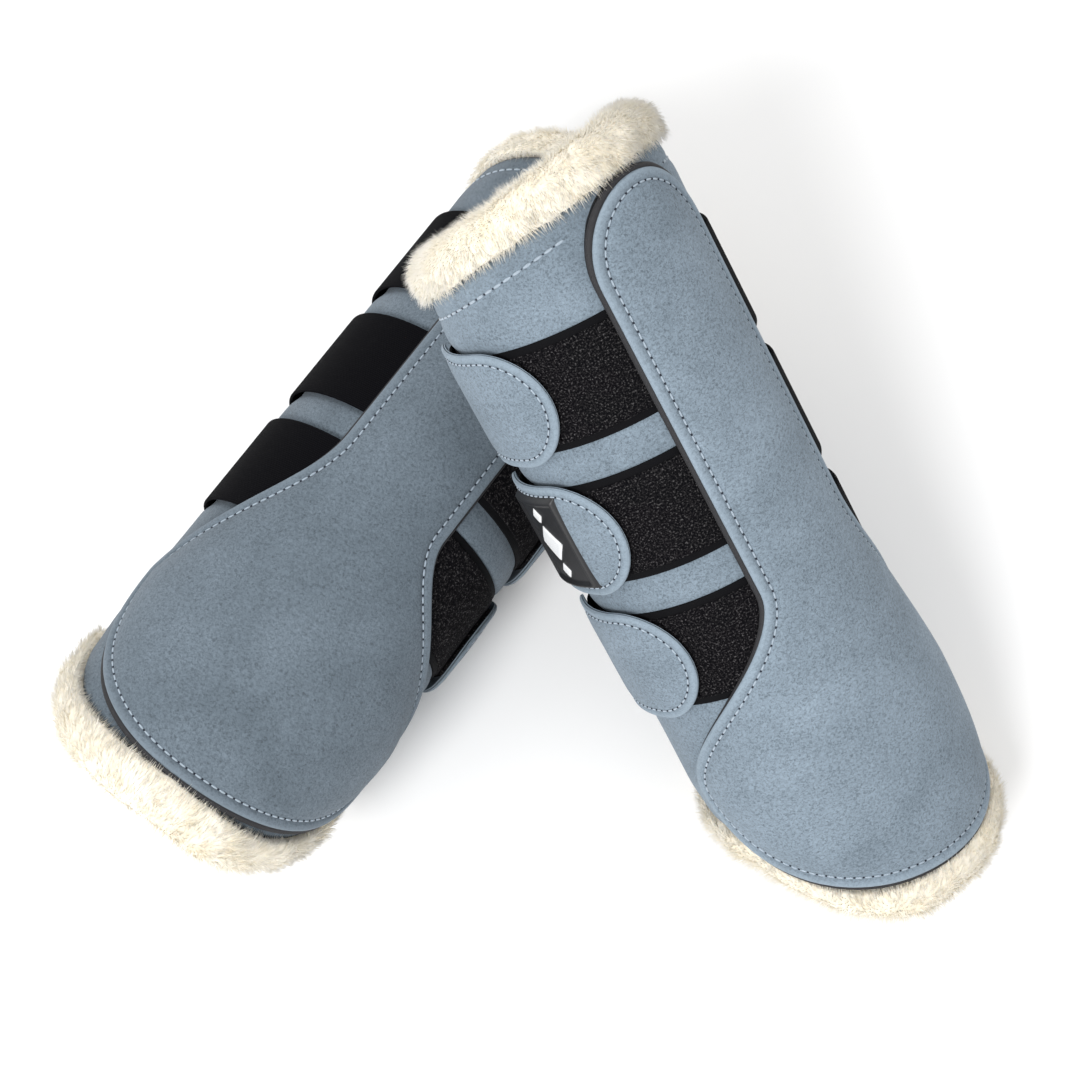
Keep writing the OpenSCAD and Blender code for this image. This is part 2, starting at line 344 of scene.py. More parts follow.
# ---------------------------------------------------------------- materials
class Nodes:
    """Short names for building a procedural material on the laid-out pattern of a piece."""

    def __init__(self, name, colour, roughness):
        self.material = bpy.data.materials.new(name)
        self.material.use_nodes = True
        self.tree = self.material.node_tree
        self.shader = self.tree.nodes["Principled BSDF"]
        self.shader.inputs["Base Color"].default_value = (*colour, 1)
        self.shader.inputs["Roughness"].default_value = roughness
        self.pattern = self.node("ShaderNodeAttribute")
        self.pattern.attribute_name = "pattern"
        self.at = self.pattern.outputs["Vector"]

    def node(self, kind, **inputs):
        made = self.tree.nodes.new(kind)
        for key, value in inputs.items():
            self.feed(made.inputs[key.replace("_", " ")], value)
        return made

    def feed(self, socket, value):
        if isinstance(value, bpy.types.NodeSocket):
            self.tree.links.new(value, socket)
        else:
            socket.default_value = value

    def stretched(self, scale):
        made = self.node("ShaderNodeMapping")
        self.tree.links.new(self.at, made.inputs["Vector"])
        made.inputs["Scale"].default_value = scale
        return made.outputs["Vector"]

    def noise(self, per_mm, detail=3.0, roughness=0.55, vector=None, distortion=0.0):
        made = self.node("ShaderNodeTexNoise", Vector=vector or self.at, Scale=per_mm, Detail=detail)
        made.inputs["Roughness"].default_value = roughness
        made.inputs["Distortion"].default_value = distortion
        return made.outputs["Fac"]

    def wave(self, per_mm, direction, vector=None):
        made = self.node("ShaderNodeTexWave", Vector=vector or self.at, Scale=per_mm)
        made.bands_direction = direction
        return made.outputs["Fac"]

    def ramp(self, value, stops):
        made = self.node("ShaderNodeValToRGB", Fac=value)
        while len(made.color_ramp.elements) < len(stops):
            made.color_ramp.elements.new(0.5)
        for element, (place, colour) in zip(made.color_ramp.elements, stops):
            element.position = place
            element.color = (*colour, 1)
        return made.outputs["Color"]

    def math(self, operation, a, b):
        made = self.node("ShaderNodeMath")
        made.operation = operation
        self.feed(made.inputs[0], a)
        self.feed(made.inputs[1], b)
        return made.outputs[0]

    def mix(self, fac, a, b, blend="MIX"):
        made = self.node("ShaderNodeMix")
        made.data_type = "RGBA"
        made.blend_type = blend
        self.feed(made.inputs["Factor"], fac)
        self.feed(made.inputs[6], a)
        self.feed(made.inputs[7], b)
        return made.outputs[2]

    def bump(self, height, strength, distance, onto=None):
        made = self.node("ShaderNodeBump", Height=height, Strength=strength, Distance=distance)
        if onto is not None:
            self.tree.links.new(onto, made.inputs["Normal"])
        return made.outputs["Normal"]

    def finish(self, colour=None, roughness=None, normal=None):
        if colour is not None:
            self.tree.links.new(colour, self.shader.inputs["Base Color"])
        if roughness is not None:
            self.tree.links.new(roughness, self.shader.inputs["Roughness"])
        if normal is not None:
            self.tree.links.new(normal, self.shader.inputs["Normal"])
        return self.material

    def sheen(self, weight, roughness, tint=(1, 1, 1)):
        self.shader.inputs["Sheen Weight"].default_value = weight
        self.shader.inputs["Sheen Roughness"].default_value = roughness
        self.shader.inputs["Sheen Tint"].default_value = (*tint, 1)


def grey(value):
    return (value, value, value)


SUEDE_DARK = (0.162, 0.206, 0.247)
SUEDE_PALE = (0.232, 0.290, 0.346)
SUEDE_WORN = (0.300, 0.372, 0.440)


def suede_material(name, tone):
    """Brushed suede: short creased grain, painted darker in its creases as painted shade and paler on its
    ridges as painted highlight, a nap that lies light and dark in faint patches.

    tone scales a boot's whole suede darker, as painted shade: boot A is given a much lower tone than boot
    B.
    """
    n = Nodes(name, tuple(tone * c for c in SUEDE_PALE), 0.85)
    nap = n.noise(0.022, 2, 0.5, distortion=0.6)
    brushed = n.noise(0.10, 5, 0.7, vector=n.stretched((1.0, 0.6, 1.0)), distortion=0.4)
    lie = n.math("ADD", n.math("MULTIPLY", nap, 0.6), n.math("MULTIPLY", brushed, 0.4))
    dark, pale, rubbed = (tuple(tone * c for c in shade) for shade in (SUEDE_DARK, SUEDE_PALE, SUEDE_WORN))
    colour = n.ramp(lie, [(0.34, dark), (0.66, pale)])
    creases = n.noise(1.25, 5, 0.7, distortion=0.8)
    # painted shade in the grain's creases and painted highlight on its ridges, multiplied into the colour
    painted_grain_shading = n.ramp(creases, [(0.36, grey(0.52)), (0.50, grey(0.97)), (0.66, grey(1.26))])
    colour = n.mix(0.9, colour, painted_grain_shading, blend="MULTIPLY")
    worn = n.node("ShaderNodeAttribute")
    worn.attribute_name = "worn"
    colour = n.mix(n.math("MULTIPLY", worn.outputs["Fac"], 0.55), colour, (*rubbed, 1))
    fibres = n.noise(5.0, 2, 0.7)
    normal = n.bump(creases, 0.55, 0.0004)
    normal = n.bump(fibres, 0.4, 0.00012, onto=normal)
    n.sheen(0.12, 0.5, (0.85, 0.92, 1.0))
    n.shader.inputs["Specular IOR Level"].default_value = 0.2
    return n.finish(colour=colour, normal=normal)


def foam_material():
    """Black foam rubber, as a cut edge."""
    n = Nodes("foam", (0.012, 0.012, 0.014), 0.75)
    cells = n.noise(2.2, 3, 0.7)
    colour = n.ramp(cells, [(0.3, (0.006, 0.006, 0.008)), (0.7, (0.024, 0.024, 0.027))])
    return n.finish(colour=colour, normal=n.bump(cells, 0.5, 0.0003))


def fleece_material(name, light):
    """Cream sheepskin: soft, painted a little darker and warmer in the hollows as painted shade and whiter
    on the tops as painted highlight, with fine streaks down the pile.
    """
    n = Nodes(name, light, 0.95)
    locks = n.noise(0.09, 3, 0.5)
    streaks = n.noise(1.1, 4, 0.6, vector=n.stretched((1.0, 0.18, 0.18)), distortion=0.3)
    tone = n.math("ADD", n.math("MULTIPLY", locks, 0.5), n.math("MULTIPLY", streaks, 0.5))
    # painted shade: dark is a darker, warmer copy of the colour for the pile's hollows; painted highlight:
    # pale is a whiter copy for its tops
    dark = tuple(c * k for c, k in zip(light, (0.93, 0.90, 0.83)))
    pale = tuple(min(1.0, c * k) for c, k in zip(light, (1.04, 1.05, 1.09)))
    colour = n.ramp(tone, [(0.36, dark), (0.5, light), (0.62, pale)])
    normal = n.bump(streaks, 0.35, 0.0008)
    n.sheen(0.6, 0.6, (1.0, 0.98, 0.93))
    n.shader.inputs["Subsurface Weight"].default_value = 0.2
    n.shader.inputs["Subsurface Radius"].default_value = (0.005, 0.004, 0.003)
    n.shader.inputs["Specular IOR Level"].default_value = 0.05
    return n.finish(colour=colour, normal=normal)


def loop_material():
    """Black loop pile of a hook-and-loop band, with pale flecks painted in as glints."""
    n = Nodes("loop_pile_painted_glints", (0.010, 0.010, 0.011), 0.9)
    pile = n.noise(1.5, 3, 0.7)
    # the palest stop paints glints on the pile as pale flecks in its colour
    stops = [(0.46, (0.003, 0.003, 0.004)), (0.58, (0.016, 0.015, 0.016)), (0.70, (0.110, 0.106, 0.108))]
    n.shader.inputs["Specular IOR Level"].default_value = 0.03
    return n.finish(colour=n.ramp(pile, stops), normal=n.bump(pile, 0.8, 0.0008))


def selvedge_material():
    """The smooth woven edge of the same band."""
    n = Nodes("selvedge", (0.005, 0.005, 0.006), 0.7)
    twill = n.wave(1.6, "DIAGONAL")
    n.shader.inputs["Specular IOR Level"].default_value = 0.04
    colour = n.ramp(twill, [(0.2, (0.003, 0.003, 0.004)), (0.8, (0.009, 0.009, 0.010))])
    return n.finish(colour=colour, normal=n.bump(twill, 0.5, 0.0002))


def elastic_material():
    """Black elastic webbing: fine ribs along it and rows of covered rubber across."""
    n = Nodes("elastic", (0.004, 0.004, 0.005), 0.8)
    weave = n.math("MULTIPLY", n.wave(0.42, "Y"), n.wave(0.55, "X"))
    fuzz = n.noise(2.5, 3, 0.6)
    tone = n.math("ADD", n.math("MULTIPLY", weave, 0.6), n.math("MULTIPLY", fuzz, 0.4))
    colour = n.ramp(tone, [(0.2, (0.002, 0.002, 0.003)), (0.8, (0.008, 0.008, 0.009))])
    n.shader.inputs["Specular IOR Level"].default_value = 0.03
    normal = n.bump(weave, 0.5, 0.0004)
    return n.finish(colour=colour, normal=n.bump(fuzz, 0.3, 0.0002, onto=normal))


def thread_material():
    """Pale blue-grey sewing thread with its twist."""
    n = Nodes("thread", (0.42, 0.50, 0.58), 0.55)
    twist = n.wave(1.8, "DIAGONAL")
    colour = n.ramp(twist, [(0.0, (0.27, 0.34, 0.41)), (1.0, (0.48, 0.56, 0.64))])
    n.sheen(0.3, 0.4)
    return n.finish(colour=colour, normal=n.bump(twist, 0.6, 0.0002))


def hole_shade_material():
    """Painted shade: the dark of a needle hole, given to a dark bead."""
    n = Nodes("needle_hole_shade", (0.01, 0.014, 0.025), 0.9)
    speck = n.noise(2.0)
    return n.finish(colour=n.ramp(speck, [(0.3, (0.006, 0.009, 0.018)), (0.8, (0.018, 0.024, 0.040))]))


def rubber_material(name, dark, light, roughness):
    """Moulded rubber with a fine matt skin."""
    n = Nodes(name, dark, roughness)
    skin = n.noise(3.0, 3, 0.6)
    return n.finish(colour=n.ramp(skin, [(0.3, dark), (0.75, light)]), normal=n.bump(skin, 0.25, 0.0001))


MATERIAL = {
    # painted shade: boot A's suede is scaled to 0.60 and boot B's to 0.94, though both boots are one colour
    "suede_a": suede_material("suede_a", 0.60),
    "suede_b": suede_material("suede_b", 0.94),
    "foam": foam_material(),
    "fleece": fleece_material("fleece", (0.83, 0.77, 0.645)),
    "fibre": fleece_material("fleece_fibre", (0.86, 0.805, 0.69)),
    "loop": loop_material(),
    "selvedge": selvedge_material(),
    "elastic": elastic_material(),
    "thread": thread_material(),
    "hole": hole_shade_material(),
    "badge": rubber_material("badge_rubber", (0.008, 0.008, 0.009), (0.018, 0.018, 0.020), 0.45),
    "badge_mark": rubber_material("badge_mark", (0.62, 0.63, 0.64), (0.78, 0.79, 0.80), 0.5),
}


# ---------------------------------------------------------------- shell and foam
def between_straps(z):
    """0 under a strap and 1 halfway between two, where the soft shell bulges."""
    z = np.asarray(z, float)
    pinch = np.zeros(z.shape)
    for i in range(3):
        pinch = np.maximum(pinch, 1 - ease((np.abs(z - strap_z(i)) - BAND_W / 2 + 2) / 6))
    return 1 - pinch


def wrap_angles(count):
    return np.linspace(OPENING[1] - 360, OPENING[0], count)


def make_shell(boot):
    """The suede outer, bulging a little between the straps, with a soft cut edge."""
    rows = 150

    def loop(phi):
        low, high = boot.bottom_edge(phi), boot.top_edge(phi)
        z = low + (high - low) * np.linspace(0, 1, rows)
        in_from_edge = np.minimum(z - low, high - z)
        edge = 0.7 * (1 - np.sqrt(np.clip(in_from_edge / 1.2, 0, 1)))
        bulge = 1.1 * between_straps(z) * ease(in_from_edge / 14)
        sway = 0.35 * noise(cylinder(phi, boot.shaft_r, z), 26, 3) * ease(in_from_edge / 10)
        rim = 0.5 * np.exp(-(((high - z) - RIM_STITCH_IN) / 1.2) ** 2)
        outer = np.stack([boot.shell_r(z) + bulge + sway * between_straps(z) - edge - rim, z], 1)
        inner = np.stack([boot.shell_r(z) - SUEDE_T, z], 1)[::-10]
        return np.concatenate([outer, inner])

    points, faces = sweep(wrap_angles(300), loop)
    node = f"{boot.prefix}_suede_shell"
    add_piece(node + "_skin", boot, points, faces, MATERIAL["suede_" + boot.prefix], replaces=[node])


def make_foam(boot):
    """The foam core, seen as a dark line at the rims and the slit."""

    def loop(phi):
        z = np.linspace(boot.bottom_edge(phi) - 0.9, boot.top_edge(phi) + 0.9, 60)
        outer = np.stack([boot.shell_r(z) - SUEDE_T, z], 1)
        inner = np.stack([boot.shell_r(z) - SUEDE_T - FOAM_T, z], 1)[::-6]
        return np.concatenate([outer, inner])

    points, faces = sweep(wrap_angles(180), loop)
    node = f"{boot.prefix}_foam_core"
    add_piece(node + "_sheet", boot, points, faces, MATERIAL["foam"], replaces=[node])


# ---------------------------------------------------------------- fleece
LIP_ROWS = 84
WALL_ROWS = 64
BACK_ROWS = 6
FIBRES = 26000              # on each cuff


def spline(points, count):
    """A smooth path through the points, resampled to even steps."""
    p = np.asarray(points, float)
    ends = np.concatenate([[2 * p[0] - p[1]], p, [2 * p[-1] - p[-2]]])
    t = np.linspace(0, 1, 24, endpoint=False)[:, None]
    path = []
    for k in range(len(p) - 1):
        a, b, c, d = ends[k:k + 4]
        square = (2 * a - 5 * b + 4 * c - d) * t**2
        cube = (3 * b - a - 3 * c + d) * t**3
        path.append(0.5 * (2 * b + (c - a) * t + square + cube))
    path = np.concatenate(path + [p[-1:]])
    gone = np.concatenate([[0], np.cumsum(np.hypot(*np.diff(path, axis=0).T))])
    at = np.linspace(0, gone[-1], count)
    return np.stack([np.interp(at, gone, path[:, 0]), np.interp(at, gone, path[:, 1])], 1)


def fleece_loop(boot, phi):
    """The fleece's (r, z) section: top roll, inner wall, bottom roll, and back behind the foam."""
    top, low, leg = float(boot.top_edge(phi)), float(boot.bottom_edge(phi)), boot.leg_r
    rt, rl = float(boot.shell_r(top)), float(boot.shell_r(low))
    top_roll = spline(
        [
            (rt - 1.0, top + 1.0), (rt + 1.8, top + 0.9), (rt + 2.4, top + 4.5),
            (rt + 1.4, top + 9.5), (rt - 3.5, top + CUFF_TOP - 0.5), (leg + 4.2, top + CUFF_TOP - 1),
            (leg + 0.8, top + 7), (leg, top - 4),
        ],
        LIP_ROWS,
    )
    low_roll = spline(
        [
            (leg, low + 6), (leg + 1.5, low - 3), (leg + 7, low - 11.5),
            ((leg + rl) / 2 + 3, low - CUFF_BOTTOM),
            (rl - 0.5, low - 13.0), (rl + 2.8, low - 7.5), (rl + 2.2, low - 1.8), (rl - 1.0, low - 1.0),
        ],
        LIP_ROWS,
    )
    z = np.linspace(top - 4, low + 6, WALL_ROWS + 2)[1:-1]
    wall = np.stack([np.full(z.shape, leg), z], 1)
    z = np.linspace(low + 1, top - 1, BACK_ROWS)
    back = np.stack([boot.shell_r(z) - SUEDE_T - FOAM_T, z], 1)
    return np.concatenate([top_roll, wall, low_roll, back])


def make_fleece(boot):
    """One piece of sheepskin: the lining and both rolled cuffs, with its pile as bumps and fibres."""
    columns = 430
    phis = wrap_angles(columns)
    points, faces = sweep(phis, lambda phi: fleece_loop(boot, phi))
    rows = len(points) // columns
    grid = points.reshape(columns, rows, 3)
    around = np.gradient(grid, axis=0)
    along = np.roll(grid, -1, axis=1) - np.roll(grid, 1, axis=1)
    normal = np.cross(along, around)
    normal /= np.linalg.norm(normal, axis=2, keepdims=True) + 1e-9
    centre = grid.mean(axis=1, keepdims=True)
    if np.einsum("ijk,ijk->", normal[:, :LIP_ROWS], (grid - centre)[:, :LIP_ROWS]) < 0:
        normal = -normal
    shown = np.zeros(rows)
    shown[:LIP_ROWS] = np.minimum(1, np.arange(LIP_ROWS) / 5)
    shown[LIP_ROWS:LIP_ROWS + WALL_ROWS] = 0.75
    shown[LIP_ROWS + WALL_ROWS:rows - BACK_ROWS] = np.minimum(1, np.arange(LIP_ROWS)[::-1] / 5)
    pile = 0.8 * noise(points, 19, 1) + 0.6 * noise(points, 9, 2)
    pile += 0.8 * (tufts(points, 5.5, 4) - 0.5) + 0.25 * noise(points, 2.2, 5)
    pile = pile.reshape(columns, rows, 1) * shown[None, :, None]
    furry = (grid + pile * normal).reshape(-1, 3)
    p = boot.prefix
    nodes = [f"{p}_fleece_lining", f"{p}_top_cuff", f"{p}_bottom_cuff"]
    add_piece(f"{p}_fleece", boot, furry, faces, MATERIAL["fleece"], replaces=nodes)
    add_fibres(boot, furry.reshape(columns, rows, 3), normal, along)


def add_fibres(boot, grid, normal, along):
    """Fine fibres on both cuffs: thin closed spikes that lean down the roll over the shell's rim."""
    rng = np.random.default_rng(SEED + ord(boot.prefix))
    columns, rows, _ = grid.shape
    spans = ((0, LIP_ROWS - 6, -1), (rows - BACK_ROWS - LIP_ROWS + 6, rows - BACK_ROWS, 1))
    for label, (low, high, lean) in zip(("top", "bottom"), spans):
        i = rng.integers(0, columns, FIBRES)
        j = rng.integers(low, high, FIBRES)
        base = grid[i, j]
        out = normal[i, j]
        down = along[i, j] * lean
        down = down / (np.linalg.norm(down, axis=1, keepdims=True) + 1e-9)
        clump = np.stack([noise(base, 4.5, 20 + k) for k in range(3)], axis=1)
        aim = out * 0.5 + down * 0.8 + clump * 0.45 + rng.normal(0, 0.14, (FIBRES, 3))
        aim /= np.linalg.norm(aim, axis=1, keepdims=True)
        aim -= np.minimum(0, (aim * out).sum(1, keepdims=True) - 0.12) * out
        length = rng.uniform(2.4, 5.0, (FIBRES, 1))
        side = np.cross(aim, rng.normal(0, 1, (FIBRES, 3)))
        side /= np.linalg.norm(side, axis=1, keepdims=True) + 1e-9
        other = np.cross(aim, side)
        thick = rng.uniform(0.10, 0.19, (FIBRES, 1))
        root = base - out * 0.5
        corners = []
        for turn in np.radians((0, 120, 240)):
            corners.append(root + (side * math.cos(turn) + other * math.sin(turn)) * thick)
        corners.append(base + aim * length)
        spikes = np.stack(corners, axis=1)
        above = boot.world(spikes)[:, :, 2].min(axis=1) > 2 * PRESSED
        points = spikes[above].reshape(-1, 3)
        spike = ((0, 2, 1), (0, 1, 3), (1, 2, 3), (2, 0, 3))
        faces = [tuple(4 * k + v for v in face) for k in range(above.sum()) for face in spike]
        add_piece(f"{boot.prefix}_{label}_cuff_fibres", boot, points, faces, MATERIAL["fibre"])


# ---------------------------------------------------------------- stitching
def capsule():
    """A low round bead, one unit long in X, wide in Y and high in Z: points and faces."""
    points = []
    rings = np.radians(np.linspace(-78, 78, 6))
    around = 8
    for lat in rings:
        for k in range(around):
            a = 2 * math.pi * k / around
            reach = 0.5 * math.cos(lat) ** 0.6
            points.append((0.5 * math.sin(lat), reach * math.cos(a), reach * math.sin(a)))
    faces = grid_faces(len(rings), around, close=True)
    faces.append(tuple(reversed(range(around))))
    faces.append(tuple(range(around * (len(rings) - 1), around * len(rings))))
    return np.array(points), [tuple(reversed(f)) for f in faces]


def add_stitches(name, boot, path, out, strap=None, pitch=3.2, length=2.4, width=0.72, sunk=0.05):
    """A row of stitches with dark beads of painted shade for the needle holes between, along boot-frame
    points path with outward out.
    """
    gone = np.concatenate([[0], np.cumsum(np.linalg.norm(np.diff(path, axis=0), axis=1))])
    count = int(gone[-1] / pitch)
    unit, unit_faces = capsule()
    for kind, offset, size, material in (
        ("stitches", 0.5, (length, width, width), MATERIAL["thread"]),
        # the holes are dark beads painted as the shade in the needle holes
        ("holes", 0.0, (0.75, 0.75, 0.5), MATERIAL["hole"]),
    ):
        at = (np.arange(count) + offset) * gone[-1] / count
        spot = np.stack([np.interp(at, gone, path[:, k]) for k in range(3)], axis=1)
        ahead = np.stack([np.interp(at + 0.5, gone, path[:, k]) for k in range(3)], axis=1)
        behind = np.stack([np.interp(at - 0.5, gone, path[:, k]) for k in range(3)], axis=1)
        up = np.stack([np.interp(at, gone, out[:, k]) for k in range(3)], axis=1)
        run = ahead - behind
        run /= np.linalg.norm(run, axis=1, keepdims=True)
        up -= run * (up * run).sum(1, keepdims=True)
        up /= np.linalg.norm(up, axis=1, keepdims=True)
        cross = np.cross(up, run)
        local = unit * np.array(size)
        points = (
            spot[:, None]
            + local[None, :, :1] * run[:, None]
            + local[None, :, 1:2] * cross[:, None]
            + (local[None, :, 2:] - sunk) * up[:, None]
        )
        faces = [tuple(len(unit) * k + v for v in f) for k in range(count) for f in unit_faces]
        add_piece(f"{name}_{kind}", boot, points.reshape(-1, 3), faces, material, strap=strap)


def add_rim_stitches(boot):
    """The row along the shell's top rim, from the pad round to the slit on both sides."""
    for label, start, end in (("loop_side", -146, -33), ("strap_side", 33, 206)):
        phi = np.linspace(start, end, 160)
        z = boot.top_edge(phi) - RIM_STITCH_IN
        path = cylinder(phi, boot.shell_r(z) + 0.35, z)
        out = cylinder(phi, 1, 0)
        add_stitches(f"{boot.prefix}_rim_{label}", boot, path, out, pitch=4.0, length=3.1, width=1.0)


# ---------------------------------------------------------------- strike pad
PAD_SHAFT_W = 25.0
PAD_BOWL_W = {-1: 82.0, 1: 68.0}
BOWL_FLARE = {-1: (122.0, 66.0), 1: (132.0, 92.0)}
ROUND_TOP = 27.0
BOWL_Z = 58.0
PAD_MID = 2.5


def pad_half(z, side, grow=0.0):
    """Half width in mm of arc of the pad's outline, grown outward a little, on one side."""
    middle = (PAD_H + PAD_FOOT) / 2
    reach = (PAD_H - PAD_FOOT) / 2
    z = middle + (np.asarray(z, float) - middle) * reach / (reach + grow)
    start, run = BOWL_FLARE[side]
    widen = PAD_BOWL_W[side] - PAD_SHAFT_W
    straight = PAD_SHAFT_W + widen * ease((start - z) / run)
    at_bowl = PAD_SHAFT_W + widen * ease((start - BOWL_Z) / run)
    top = PAD_SHAFT_W * np.sqrt(np.clip(1 - ((z - PAD_H + ROUND_TOP) / ROUND_TOP) ** 2, 0, 1))
    bowl = at_bowl * np.sqrt(np.clip(1 - ((BOWL_Z - z) / (BOWL_Z - PAD_FOOT)) ** 2, 0, 1))
    return grow + np.where(z > PAD_H - ROUND_TOP, top, np.where(z < BOWL_Z, bowl, straight))


def pad_rows(grow=0.0):
    """Heights of the pad's rows: close at both rounded ends."""
    low, high = PAD_FOOT - grow, PAD_H + grow
    near = np.array(
        [0, 0.08, 0.25, 0.5, 0.8, 1.2, 1.6, 2.1, 2.6, 3.1, 3.5, 3.8, 4.1, 4.5, 5, 5.8, 6.8, 8, 9.5, 11.5]
    )
    middle = np.linspace(low + 14, high - 14, 120)
    return np.concatenate([low + near, middle, (high - near)[::-1]])


def on_pad(boot, z, arc, height):
    """Boot-frame points of the pad from height, arc length from its middle and offset."""
    phi = np.degrees(arc / (boot.shell_r(z) + PAD_MID))
    return cylinder(phi, boot.shell_r(z) + height, z)


# how far the pad foam's edge stands out past its suede
FOAM_PAST = 1.5


def cover_height(d, z, arc):
    """The pad's suede: a rounded cut edge, a sewn groove, and a padded crown that is fuller at the bowl."""
    edge = 1.3 * np.sqrt(1 - (1 - np.clip(d / 1.3, 0, 1)) ** 2)
    groove = 0.75 * np.exp(-(((d - PAD_STITCH_IN) / 0.8) ** 2))
    full = 1.6 + 2.6 * ease((120 - z) / 70)
    crown = full * (1 - np.exp(-np.maximum(0, d - PAD_STITCH_IN) / 11))
    lie = 0.35 * noise(np.stack([z.ravel(), arc.ravel(), 0 * z.ravel()], 1), 34, 6).reshape(z.shape)
    return PAD_FOAM_T + 0.1 + edge - groove + crown + lie * ease((d - 5) / 10)


def make_pad(boot):
    """The strike pad: its foam, which shows as a dark edge, and its stitched suede cover."""
    p = boot.prefix

    def foam_height(d, z, arc):
        return PAD_FOAM_T - 1.4 + 1.4 * np.sqrt(1 - (1 - np.clip(d / 1.4, 0, 1)) ** 2)

    def place(z, arc, height):
        return on_pad(boot, z, arc, height)

    def foam_half(z, side):
        return pad_half(z, side, FOAM_PAST)

    points, faces, _ = patch(pad_rows(FOAM_PAST), foam_half, place, foam_height, -0.4)
    foam = add_piece(
        f"{p}_pad_foam_edge", boot, points, faces, MATERIAL["foam"], replaces=[f"{p}_pad_foam"]
    )
    merge_doubles(foam)
    points, faces, rim = patch(pad_rows(), pad_half, place, cover_height, PAD_FOAM_T - 0.4, count=44)
    cover = add_piece(
        f"{p}_pad_suede", boot, points, faces, MATERIAL["suede_" + p],
        replaces=[f"{p}_pad_cover"], rim=rim,
    )
    merge_doubles(cover)
    z = pad_rows()
    outline = np.concatenate([np.stack([z, pad_half(z, 1)], 1), np.stack([z, -pad_half(z, -1)], 1)[::-1]])
    line = inset(outline, PAD_STITCH_IN)
    height = cover_height(np.full(len(line), PAD_STITCH_IN), line[:, 0], line[:, 1])
    path = place(line[:, 0], line[:, 1], height + 0.3)
    out = place(line[:, 0], line[:, 1], height + 1.3) - path
    add_stitches(f"{p}_pad", boot, path, out)


def inset(outline, distance):
    """A closed outline moved inwards by a distance, resampled to even steps of about 1 mm."""
    loop = np.concatenate([outline, outline[:1]])
    step = np.hypot(*np.diff(loop, axis=0).T)
    gone = np.concatenate([[0], np.cumsum(step)])
    at = np.linspace(0, gone[-1], int(gone[-1]))
    even = np.stack([np.interp(at, gone, loop[:, k]) for k in range(2)], 1)
    run = np.roll(even[:-1], -2, axis=0) - np.roll(even[:-1], 2, axis=0)
    run /= np.linalg.norm(run, axis=1, keepdims=True) + 1e-9
    area = np.sum(even[:-1, 0] * np.roll(even[:-1, 1], -1) - np.roll(even[:-1, 0], -1) * even[:-1, 1])
    sign = 1 if area > 0 else -1
    moved = even[:-1] + sign * distance * np.stack([-run[:, 1], run[:, 0]], 1)
    far = distance_to(outline, moved[:, 0], moved[:, 1]) > distance * 0.93
    moved = moved[far]
    return np.concatenate([moved, moved[:1]])


# ---------------------------------------------------------------- straps
# angles: both ends of a strap lie hidden under the pad, and the fold spans the tab's hinge
LOOP_END = -20
STRAP_START = 22
FOLD_BEFORE = 35
FOLD_AFTER = 13


def make_loop_band(boot, i):
    """The loop band: a raised pile field between two smooth selvedges."""
    zc = strap_z(i)
    start, end = boot.tip - TAB_SPAN + 4, LOOP_END
    phis = np.linspace(start, end, 90)
    name = f"{boot.prefix}_loop_band_{STRAPS[i]}"
    selvedge = 2.6
    low, high = zc - BAND_W / 2, zc + BAND_W / 2
    r = float(boot.shell_r(zc))
    points, faces = sweep(phis, lambda phi: rounded_band(r - 0.1, r + 1.0, low, high, 0.4))
    add_piece(name + "_selvedge", boot, points, faces, MATERIAL["selvedge"], replaces=[name])

    def pile(phi):
        loop = np.array(rounded_band(r + 0.5, r + LOOP_T, low + selvedge, high - selvedge, 0.5, 60))
        fuzz = noise(cylinder(phi, *loop.T), 1.3, 8)
        loop[:, 0] += 0.12 * fuzz
        return loop

    points, faces = sweep(np.linspace(start, end, 200), pile)
    add_piece(name + "_pile", boot, points, faces, MATERIAL["loop"])


def strap_section(boot, i, phi):
    """The elastic's section at an angle: on the shell at first, rising under the tab near the hinge."""
    zc = strap_z(i)
    r = float(boot.shell_r(zc))
    past_hinge = phi - boot.hinge - (360 if phi > 180 else 0)
    rise = float(ease((past_hinge + 9) / 9))
    low = r + (SLIP + LOOP_T) * rise
    high = r + ELASTIC_T + (SLIP + LOOP_T + HOOK_T - 0.1 - ELASTIC_T) * rise
    return rounded_band(low, high, zc - BAND_W / 2, zc + BAND_W / 2, 0.9, 12)


def make_strap(boot, i):
    """The elastic, from under the pad round the back: a fixed length, then an end piece over the hinge that
    rides on no body.
    """
    name = STRAPS[i]
    hinge = boot.hinge + 360
    split = hinge - FOLD_BEFORE
    p = boot.prefix
    points, faces = sweep(np.linspace(STRAP_START, split, 120), lambda phi: strap_section(boot, i, phi))
    add_piece(
        f"{p}_elastic_{name}_wrap", boot, points, faces, MATERIAL["elastic"],
        replaces=[f"{p}_elastic_{name}"],
    )
    folded = np.linspace(split, hinge + FOLD_AFTER, 90)
    points, faces = sweep(folded, lambda phi: strap_section(boot, i, phi))
    fold = add_piece(
        f"{p}_elastic_{name}_fold", boot, points, faces, MATERIAL["elastic"],
        strap="blend", replaces=[f"{p}_elastic_end_{name}"],
    )
    r = float(boot.shell_r(strap_z(i))) + 2
    ends = [boot.world(cylinder(hinge + turn, r, strap_z(i))) for turn in (-5, 5)]
    boot.body()
    boot.body(name)
    tuple(ends[0])
    tuple(ends[1])
    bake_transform(fold)


TAB_TIP_LENGTH = 22.0


def tab_half(s, length):
    """Half width of a tab at a distance s from its hinge end: straight, then a half ellipse."""
    past = np.clip((s - (length - TAB_TIP_LENGTH)) / TAB_TIP_LENGTH, 0, 1)
    return TAB_W / 2 * np.sqrt(1 - past**2)


